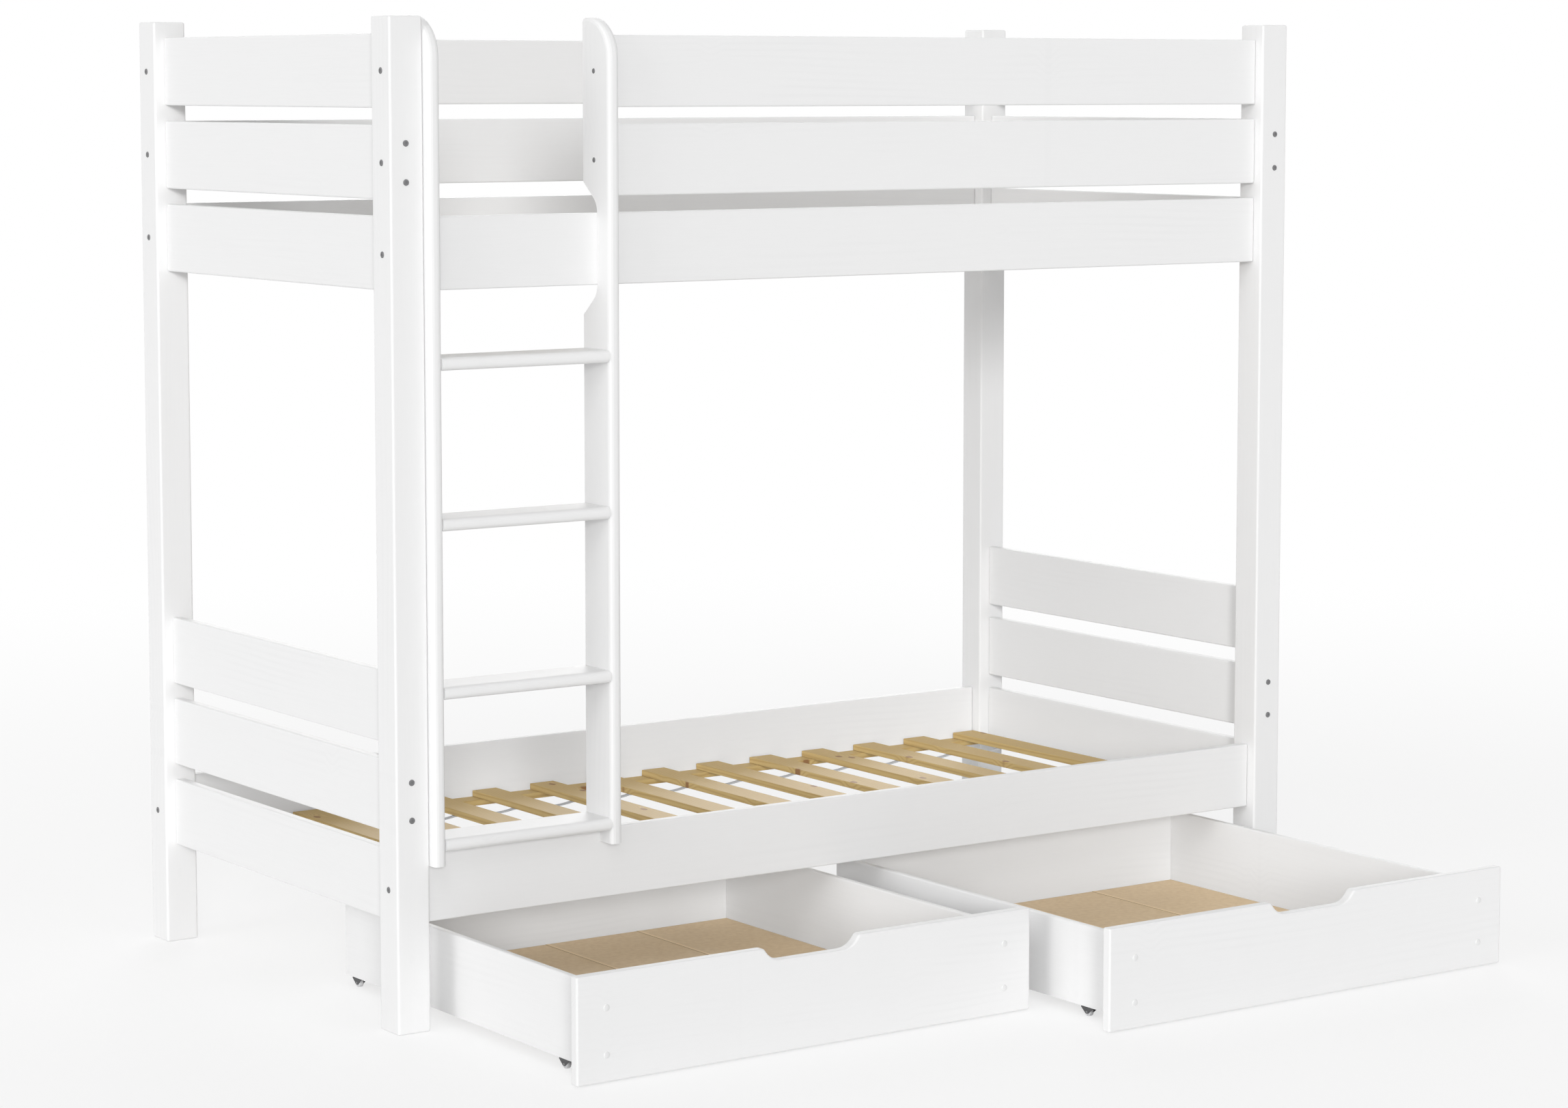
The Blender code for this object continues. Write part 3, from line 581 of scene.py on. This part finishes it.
def add_walls(bm, sections, closed=False):
    """Walls from each section of points to the next, and from the last to the first if closed."""
    loops = [[bm.verts.new(point) for point in section] for section in sections]
    for here, there in zip(loops, loops[1:] + loops[:1] if closed else loops[1:]):
        for step in range(max(len(here), len(there))):
            corners = [loop[(step + ahead) % len(loop)]
                       for loop, ahead in ((here, 0), (here, 1), (there, 1), (there, 0))]
            bm.faces.new(list(dict.fromkeys(corners)))
    return loops


def add_solid(bm, sections):
    """Walls over sections of points, closed at both ends."""
    loops = add_walls(bm, sections)
    for end in (loops[0][::-1], loops[-1]):
        if len(end) > 1:
            bm.faces.new(end)


def turned_mesh(name, profile, steps):
    """A solid turned about local Z from a profile of (radius, height), from the back to the front."""
    bm = bmesh.new()
    add_solid(bm, [circle(radius, height, steps) for radius, height in profile])
    return mesh_from(bm, name, EDGE_ANGLE)


def bolt_head_mesh(diameter, rise):
    """A flat bolt head with a rounded rim and a six-sided recess."""
    radius = diameter / 2
    rim = rise * 0.6
    round_off = rim * 0.3
    mouth = radius * 0.56
    dish = radius * 0.54
    dish_height = rise - 0.0002
    six = radius * 0.46
    six_floor = six * 0.97
    profile = [(radius, -rise), (radius, rise - rim), (radius - round_off, rise - round_off),
               (radius - rim, rise), (mouth, rise), (dish, dish_height)]
    bm = bmesh.new()
    foot, *_, ring = add_walls(bm, [circle(reach, height, HEAD_STEPS) for reach, height in profile])
    corners, floor = add_walls(bm, [circle(six, dish_height, 6), circle(six_floor, RECESS_FLOOR, 6)])
    share = HEAD_STEPS // len(corners)
    for count, corner in enumerate(corners):
        start = count * share
        for step in range(start, start + share):
            bm.faces.new((corner, ring[step], ring[(step + 1) % HEAD_STEPS]))
        after = (count + 1) % len(corners)
        bm.faces.new((corner, ring[after * share], corners[after]))
    bm.faces.new(floor)
    bm.faces.new(foot[::-1])
    return mesh_from(bm, "bolt_head", EDGE_ANGLE)


def screw_head_mesh(diameter):
    """A small screw head with a crossed recess."""
    radius = diameter / 2
    arm = radius * 0.16
    reach = radius * 0.62
    taper = 0.8
    quarter = [(arm, arm), (arm, reach), (-arm, reach)]
    cross = []
    for _ in range(4):
        cross += quarter
        quarter = [(-y, x) for x, y in quarter]
    bm = bmesh.new()
    rings = [circle(radius * share, height, HEAD_STEPS) for share, height in SCREW_RIM]
    foot, _, crown = add_walls(bm, rings)
    mouth, floor = add_walls(bm, [[(x * share, y * share, height) for x, y in cross]
                                  for share, height in ((1, SCREW_FACE), (taper, RECESS_FLOOR))])
    edges = [bm.edges.get(pair) for loop in (crown, mouth) for pair in zip(loop, loop[1:] + loop[:1])]
    bmesh.ops.triangle_fill(bm, edges=edges, use_beauty=True)
    bm.faces.new(floor)
    bm.faces.new(foot[::-1])
    return mesh_from(bm, "screw_head", EDGE_ANGLE)


# Steps

# Words in the names of lacquered nodes, with the axis that the grain follows
LACQUERED = (("post_", "z"), ("ladder_stringer_", "z"), ("ladder_rung_", "x"), ("guard_board_", "x"),
             ("end_board_", "y"), ("drawer_front", "x"), ("drawer_back", "x"), ("drawer_side_", "y"))
STRAP_STEPS = 10  # parts of a strap's curve between two slats
PLUG_STEPS = 40
RIVET_STEPS = 20
WHEEL_STEPS = 48


class BunkBedOperator(bpy.types.Operator):
    """What the operators of this file have in common."""
    bl_options = {'REGISTER', 'UNDO'}

    @property
    def sizes(self):
        """Sizes from the panel."""
        return bpy.context.scene.bunk_bed_sizes


def coat(node, material):
    """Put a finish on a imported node."""
    for slot in node.material_slots:
        slot.material = finish(material)


class BUNKBED_OT_lacquer_woodwork(BunkBedOperator):
    """Lacquer the posts, boards, ladder and drawer boards that stay as they are"""
    bl_idname = "bunk_bed.lacquer_woodwork"
    bl_label = "Lacquer the woodwork"

    def execute(self, context):
        for name, node in frame["nodes"].items():
            for words, axis in LACQUERED:
                if words in name:
                    coat(node, f"lacquer_along_{axis}")
        return {'FINISHED'}


class BUNKBED_OT_side_rails(BunkBedOperator):
    """Build the four side rails with the pine ledgers on their inner faces"""
    bl_idname = "bunk_bed.side_rails"
    bl_label = "Side rails and ledgers"

    def execute(self, context):
        sizes = self.sizes
        for row, side in ROWS:
            for bunk in BUNKS:
                node = f"side_rail_{row}_{bunk}"
                low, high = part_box(node)
                outer, reach = (low.y, high.y) if side < 0 else (high.y, low.y)
                inner = outer - side * sizes.board_thickness
                middle = (low + high) / 2
                middle.y = (outer + inner) / 2
                size = (high.x - low.x, sizes.board_thickness, high.z - low.z)
                rail = new_piece(f"rail_{row}_{bunk}", block_mesh("rail", size), middle,
                                 "lacquer_along_x", "white_lacquer", BED)
                soften(rail, sizes.board_edge)
                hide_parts(node)
                middle.y = (inner + reach) / 2
                middle.z = low.z + sizes.ledger_rise + sizes.ledger_height / 2
                size = (size[0] - 2 * sizes.ledger_inset, abs(inner - reach), sizes.ledger_height)
                ledger = new_piece(f"ledger_{row}_{bunk}", block_mesh("ledger", size), middle,
                                   "pine_along_x", "natural_pine", BED)
                soften(ledger, sizes.slat_edge, 2)
        return {'FINISHED'}


def slat_places(node, width, count):
    """Middle of each slat of a base along X."""
    low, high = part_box(node)
    pitch = (high.x - low.x - width) / (count - 1)
    return [low.x + width / 2 + step * pitch for step in range(count)]


class BUNKBED_OT_slats(BunkBedOperator):
    """Lay the slats of both bases on the ledgers"""
    bl_idname = "bunk_bed.slats"
    bl_label = "Slats"

    def execute(self, context):
        sizes = self.sizes
        for bunk in BUNKS:
            node = f"slat_base_{bunk}"
            low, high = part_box(node)
            mesh = block_mesh("slat", (sizes.slat_width, high.y - low.y, sizes.slat_thickness))
            y = (low.y + high.y) / 2
            z = high.z - sizes.slat_thickness / 2
            for count, x in enumerate(slat_places(node, sizes.slat_width, sizes.slat_count), start=1):
                slat = new_piece(f"slat_{bunk}_{count}", mesh, (x, y, z), "pine_along_y", "natural_pine", BED)
                soften(slat, sizes.slat_edge, 2)
                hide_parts(node)
        return {'FINISHED'}


class BUNKBED_OT_straps(BunkBedOperator):
    """Hang the webbing straps under the slats and staple them"""
    bl_idname = "bunk_bed.straps"
    bl_label = "Webbing straps and staples"

    def execute(self, context):
        sizes = self.sizes
        for bunk in BUNKS:
            node = f"slat_base_{bunk}"
            low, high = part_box(node)
            underside = high.z - sizes.slat_thickness
            middle = (low.y + high.y) / 2
            places = slat_places(node, sizes.slat_width, sizes.slat_count)
            path = self.strap_path(places)
            for row, side in ROWS:
                place = (0, middle + side * sizes.strap_spacing / 2, underside)
                new_piece(f"strap_{bunk}_{row}", self.strap_mesh(path), place, "webbing", "webbing", BED)
                new_piece(f"staples_{bunk}_{row}", self.staples_mesh(places), place,
                          "bolt_steel", "bolt_steel", BED)
        return {'FINISHED'}

    def strap_path(self, places):
        """Points of (x, z) that lie flat under the slats and hang in a curve between them."""
        sizes = self.sizes
        half = sizes.slat_width / 2
        path = []
        for left, right in zip(places, places[1:]):
            path.append((left - half + sizes.strap_inset, 0.0))
            start = left + half
            gap = right - half - start
            for step in range(STRAP_STEPS + 1):
                share = step / STRAP_STEPS
                path.append((start + gap * share, -4 * sizes.strap_sag * share * (1 - share)))
        return path + [(places[-1] + half - sizes.strap_inset, 0.0)]

    def strap_mesh(self, path):
        """A strap with turned-over edges along a path of (x, z)."""
        thick = self.sizes.strap_thickness
        half = self.sizes.strap_width / 2
        flat = half - thick / 2
        section = ((-half, -0.5), (-flat, -1.0), (flat, -1.0), (half, -0.5), (flat, 0.0), (-flat, 0.0))
        bm = bmesh.new()
        add_solid(bm, [[(x, y, z + share * thick) for y, share in section] for x, z in path])
        return mesh_from(bm, "strap", BEND_ANGLE)

    def staples_mesh(self, places):
        """A staple under each slat, across the strap."""
        wire = self.sizes.staple_wire
        half = self.sizes.staple_width / 2
        inside = -self.sizes.strap_thickness
        outside = inside - wire
        bend = wire * 0.4
        section = ((-half, 0), (-half, outside + bend), (-half + bend, outside), (half - bend, outside),
                   (half, outside + bend), (half, 0), (half - wire, 0), (half - wire, inside),
                   (-half + wire, inside), (-half + wire, 0))
        bm = bmesh.new()
        for place in places:
            add_solid(bm, [[(x, y, z) for y, z in section] for x in (place - wire, place + wire)])
        return mesh_from(bm, "staples", BEND_ANGLE)


class BUNKBED_OT_frame_bolts(BunkBedOperator):
    """Put the bolt heads in the posts and the screws in the ladder"""
    bl_idname = "bunk_bed.frame_bolts"
    bl_label = "Bolts and ladder screws"

    def execute(self, context):
        sizes = self.sizes
        steel = ("bolt_steel", "bolt_steel", BED)
        head = bolt_head_mesh(sizes.bolt_head, sizes.bolt_rise)
        screw = screw_head_mesh(sizes.ladder_screw)
        heights = [middle_of(f"end_board_left_upper_{count}").z for count in (3, 2, 1)]
        heights.append(middle_of("side_rail_front_lower").z)
        for end, end_side in ENDS:
            for row, row_side in ROWS:
                post = middle_of(f"post_{row}_{end}")
                half = size_of(f"post_{row}_{end}").x / 2
                rail_y = middle_of(f"guard_board_{row}_1").y
                for count, z in enumerate(heights, start=1):
                    new_piece(f"end_bolt_{row}_{end}_{count}", head, (post.x + end_side * half, rail_y, z),
                              *steel, (0, end_side * QUARTER_TURN, 0))
                for level in BUNKS:
                    board = middle_of(f"end_board_{end}_{level}_2")
                    for count, way in enumerate((-1, 1), start=1):
                        place = (board.x, post.y + row_side * half, board.z + way * sizes.bolt_spacing / 2)
                        new_piece(f"side_bolt_{row}_{end}_{level}_{count}", head, place,
                                  *steel, (-row_side * QUARTER_TURN, 0, 0))
        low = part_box("ladder_stringer_right")[0]
        for count in (1, 2):
            guard = middle_of(f"guard_board_front_{count}")
            new_piece(f"ladder_screw_{count}", screw, (low.x, guard.y, guard.z),
                      *steel, (0, -QUARTER_TURN, 0))
        return {'FINISHED'}


class BUNKBED_OT_front_plugs(BunkBedOperator):
    """Press the cover plugs into the drawer fronts"""
    bl_idname = "bunk_bed.front_plugs"
    bl_label = "Cover plugs"

    def execute(self, context):
        sizes = self.sizes
        radius = sizes.plug / 2
        shank = [(radius - less, height) for less, height in PLUG_SHANK]
        dome = [(radius * share, height) for share, height in PLUG_DOME]
        mesh = turned_mesh("plug", shank + dome, PLUG_STEPS)
        for drawer in DRAWERS:
            low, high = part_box(f"{drawer}_front")
            for side, x in (("left", low.x + sizes.plug_inset), ("right", high.x - sizes.plug_inset)):
                for row, z in (("upper", sizes.plug_upper), ("lower", sizes.plug_lower)):
                    new_piece(f"{drawer}_plug_{side}_{row}", mesh, (x, low.y, z),
                              "screw_plug", "screw_plug", drawer, (QUARTER_TURN, 0, 0))
        return {'FINISHED'}


class BUNKBED_OT_drawer_floors(BunkBedOperator):
    """Lay the hardboard panels and the strips that join them"""
    bl_idname = "bunk_bed.drawer_floors"
    bl_label = "Drawer floors"

    def execute(self, context):
        sizes = self.sizes
        panels = sizes.panel_count
        for drawer in DRAWERS:
            node = f"{drawer}_floor"
            low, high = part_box(node)
            inner_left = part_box(f"{drawer}_side_left")[1].x
            inner_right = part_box(f"{drawer}_side_right")[0].x
            pitch = (inner_right - inner_left) / panels
            y = (low.y + high.y) / 2
            z = (low.z + high.z) / 2
            seams = [low.x] + [inner_left + count * pitch for count in range(1, panels)] + [high.x]
            for count, (left, right) in enumerate(zip(seams, seams[1:]), start=1):
                start = left + (sizes.panel_gap if count > 1 else 0)
                end = right - (sizes.panel_gap if count < panels else 0)
                size = (end - start, high.y - low.y, sizes.floor_thickness)
                panel = new_piece(f"{drawer}_panel_{count}", block_mesh("floor_panel", size),
                                  ((start + end) / 2, y, z), "hardboard", "hardboard", drawer)
                soften(panel, sizes.floor_edge, 1)
                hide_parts(node)
            start = low.y + sizes.strip_play
            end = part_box(f"{drawer}_back")[0].y - sizes.strip_play
            for count, x in enumerate(seams[1:-1], start=1):
                strip = new_piece(f"{drawer}_strip_{count}", self.strip_mesh(end - start, high.z - low.z),
                                  (x, (start + end) / 2, z), "floor_strip", "hardboard", drawer)
                soften(strip, sizes.floor_edge, 2)
        return {'FINISHED'}

    def strip_mesh(self, reach, height):
        """A joining strip of H section, which takes a panel's edge on either side."""
        half = self.sizes.strip_width / 2
        web = self.sizes.strip_web / 2
        gap = self.sizes.floor_thickness / 2
        top = height / 2
        left = [(-half, top), (-half, gap), (-web, gap), (-web, -gap), (-half, -gap), (-half, -top)]
        section = left + [(-x, z) for x, z in reversed(left)]
        bm = bmesh.new()
        add_solid(bm, [[(x, y, z) for x, z in section] for y in (-reach / 2, reach / 2)])
        return mesh_from(bm, "floor_strip")


class BUNKBED_OT_castors(BunkBedOperator):
    """Finish the castor forks, rivet them and fit the wheels"""
    bl_idname = "bunk_bed.castors"
    bl_label = "Castors"

    def execute(self, context):
        sizes = self.sizes
        bodies = frame["record"]["behaviour"]["bodies"]
        joints = {joint["child"]: joint for joint in frame["joints"]}
        rivet = turned_mesh("rivet", RIVET, RIVET_STEPS)
        screw = screw_head_mesh(sizes.castor_screw)
        for drawer in DRAWERS:
            for node in bodies[drawer]:
                if "_fork_" not in node:
                    continue
                wheel_node = node.replace("_fork_", "_wheel_")
                body = next(name for name, members in bodies.items() if wheel_node in members)
                axle = Vector(joints[body]["pos_m"])
                coat(frame["nodes"][node], "castor_steel")
                low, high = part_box(node)
                for side, x, way in (("left", low.x, -1), ("right", high.x, 1)):
                    new_piece(f"{node}_rivet_{side}", rivet, (x, axle.y, axle.z),
                              "bolt_steel", "bolt_steel", drawer, (0, way * QUARTER_TURN, 0))
                for row, side in ROWS:
                    place = (axle.x, axle.y + side * sizes.castor_screw_spacing / 2,
                             high.z - sizes.castor_screw_drop)
                    new_piece(f"{node}_screw_{row}", screw, place,
                              "bolt_steel", "bolt_steel", drawer, (math.pi, 0, 0))
                wheel = new_piece(wheel_node.replace("_wheel_", "_tyre_"),
                                  self.wheel_mesh(size_of(wheel_node).z / 2), axle,
                                  "castor_wheel", "castor_wheel", body, (0, QUARTER_TURN, 0))
                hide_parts(wheel_node)
        return {'FINISHED'}

    def wheel_mesh(self, radius):
        """A moulded wheel with a rounded tread, a grooved side and a bore for the axle."""
        half = self.sizes.wheel_width / 2
        side = [(self.sizes.axle / 2 + self.sizes.axle_play, half)]
        side += [(radius * share, half - depth) for share, depth in WHEEL_GROOVE]
        side += [(radius - less, half - depth) for less, depth in WHEEL_SHOULDER]
        profile = side + [(reach, -height) for reach, height in reversed(side)]
        bm = bmesh.new()
        add_walls(bm, [circle(reach, height, WHEEL_STEPS) for reach, height in profile], closed=True)
        return mesh_from(bm, "castor_tyre", EDGE_ANGLE)


# Each light's direction, from the bed's front towards its left end and up, and its width, in degrees
SUNS = (("front", 28, 12.5, 12), ("key", 42, 38, 30), ("side", 80, 16, 30), ("top", 180, 75, 60),
        ("back", 215, 20, 30))
LAMP_DISTANCE = 6
SENSOR_WIDTH = 36  # millimetres
CLIP_START = 0.1
CLIP_END = 200
FLOOR_RADIUS = 90
FLOOR_DROP = 0.0002  # how far the studio's floor lies below the ground
FLOOR_WHITE = 0.7  # share of plain white in the floor where it is nearest


class BUNKBED_OT_stage(BunkBedOperator):
    """Set up the floor, the light and the camera"""
    bl_idname = "bunk_bed.stage"
    bl_label = "Studio"

    def execute(self, context):
        stage = context.scene.bunk_bed_stage
        context.scene.view_settings.view_transform = 'Standard'
        self.add_floor(stage)
        self.add_world(stage)
        for name, *direction in SUNS:
            self.add_sun(f"{name}_light", getattr(stage, name), *direction)
        data = bpy.data.cameras.new("camera")
        data.lens = stage.lens
        data.sensor_width = SENSOR_WIDTH
        data.shift_y = stage.shift
        data.clip_start = CLIP_START
        data.clip_end = CLIP_END
        camera = bpy.data.objects.new("camera", data)
        camera.location = stage.place
        camera.rotation_euler = (QUARTER_TURN + stage.pitch, 0, -stage.yaw)
        context.scene.collection.objects.link(camera)
        context.scene.camera = camera
        return {'FINISHED'}

    def add_floor(self, stage):
        """A pale floor that turns white far from the bed."""
        bm = bmesh.new()
        bmesh.ops.create_circle(bm, cap_ends=True, segments=96, radius=FLOOR_RADIUS)
        floor = bpy.data.objects.new("studio_floor", mesh_from(bm, "studio_floor"))
        floor.location = (0, 0, -FLOOR_DROP)
        bpy.context.scene.collection.objects.link(floor)
        material, wire, shader, place = new_finish("studio_floor", roughness=0.9, specular=0.0)
        speckle = wire.group("Speckle", Vector=place, Grain_size=0.02)
        wire.feed(shader["Base Color"], wire.mix(speckle["Coarse"], dimmed(stage.floor, 0.985), stage.floor))
        away = wire.node('ShaderNodeVectorMath', operation='LENGTH')
        wire.feed(away.inputs[0], place)
        far = wire.ramp(away.outputs['Value'], stage.floor_start, stage.floor_reach)
        white = wire.math('MULTIPLY_ADD', far, 1 - FLOOR_WHITE, FLOOR_WHITE)
        nodes = material.node_tree.nodes
        wire.blend(wire.math('MULTIPLY', white, seen_rays(wire)), nodes["Principled BSDF"].outputs[0],
                   wire.node('ShaderNodeEmission').outputs[0], nodes["Material Output"].inputs['Surface'])
        floor.data.materials.append(material)

    def add_world(self, stage):
        """Even light from all around, seen as plain white."""
        world = bpy.data.worlds.new("studio")
        world.use_nodes = True
        wire = Wiring(world.node_tree)
        nodes = world.node_tree.nodes
        light = nodes["Background"]
        white = wire.node('ShaderNodeBackground')
        for background, strength in ((light, stage.ambient), (white, 1.0)):
            background.inputs['Color'].default_value = (1, 1, 1, 1)
            background.inputs['Strength'].default_value = strength
        wire.blend(seen_rays(wire), light.outputs[0], white.outputs[0],
                   nodes["World Output"].inputs['Surface'])
        bpy.context.scene.world = world

    def add_sun(self, name, energy, yaw, height, width):
        """A wide soft light from a direction in degrees."""
        data = bpy.data.lights.new(name, 'SUN')
        data.energy = energy
        data.angle = math.radians(width)
        lamp = bpy.data.objects.new(name, data)
        turn = math.radians(yaw)
        rise = math.radians(height)
        towards = Vector((-math.sin(turn) * math.cos(rise), -math.cos(turn) * math.cos(rise), math.sin(rise)))
        lamp.location = towards * LAMP_DISTANCE
        lamp.rotation_euler = towards.to_track_quat('Z', 'Y').to_euler()
        bpy.context.scene.collection.objects.link(lamp)


class BUNKBED_PT_panel(bpy.types.Panel):
    """The sidebar panel"""
    bl_idname = "BUNKBED_PT_panel"
    bl_label = "Bunk bed"
    bl_space_type = 'VIEW_3D'
    bl_region_type = 'UI'
    bl_category = "Bunk bed"

    def draw(self, context):
        layout = self.layout
        scene = context.scene
        for group in (scene.bunk_bed_colours, scene.bunk_bed_sizes, scene.bunk_bed_stage):
            box = layout.box()
            for name in group.__annotations__:
                box.prop(group, name)
        for operator in STEPS:
            layout.operator(operator.bl_idname)


STEPS = (
    BUNKBED_OT_lacquer_woodwork,
    BUNKBED_OT_side_rails,
    BUNKBED_OT_slats,
    BUNKBED_OT_straps,
    BUNKBED_OT_frame_bolts,
    BUNKBED_OT_front_plugs,
    BUNKBED_OT_drawer_floors,
    BUNKBED_OT_castors,
    BUNKBED_OT_stage,
)
CLASSES = (BunkBedColours, BunkBedSizes, BunkBedStage, *STEPS, BUNKBED_PT_panel)


def register():
    """Make the settings, operators and panel known to Blender."""
    for item in CLASSES:
        bpy.utils.register_class(item)
    bpy.types.Scene.bunk_bed_colours = PointerProperty(type=BunkBedColours)
    bpy.types.Scene.bunk_bed_sizes = PointerProperty(type=BunkBedSizes)
    bpy.types.Scene.bunk_bed_stage = PointerProperty(type=BunkBedStage)


def unregister():
    """Take them out again."""
    del bpy.types.Scene.bunk_bed_stage
    del bpy.types.Scene.bunk_bed_sizes
    del bpy.types.Scene.bunk_bed_colours
    for item in reversed(CLASSES):
        bpy.utils.unregister_class(item)


def main():
    """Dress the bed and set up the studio."""
    register()
    bpy.ops.bunk_bed.lacquer_woodwork()
    bpy.ops.bunk_bed.side_rails()
    bpy.ops.bunk_bed.slats()
    bpy.ops.bunk_bed.straps()
    bpy.ops.bunk_bed.frame_bolts()
    bpy.ops.bunk_bed.front_plugs()
    bpy.ops.bunk_bed.drawer_floors()
    bpy.ops.bunk_bed.castors()
    bpy.ops.bunk_bed.stage()


if __name__ == "__main__":
    main()
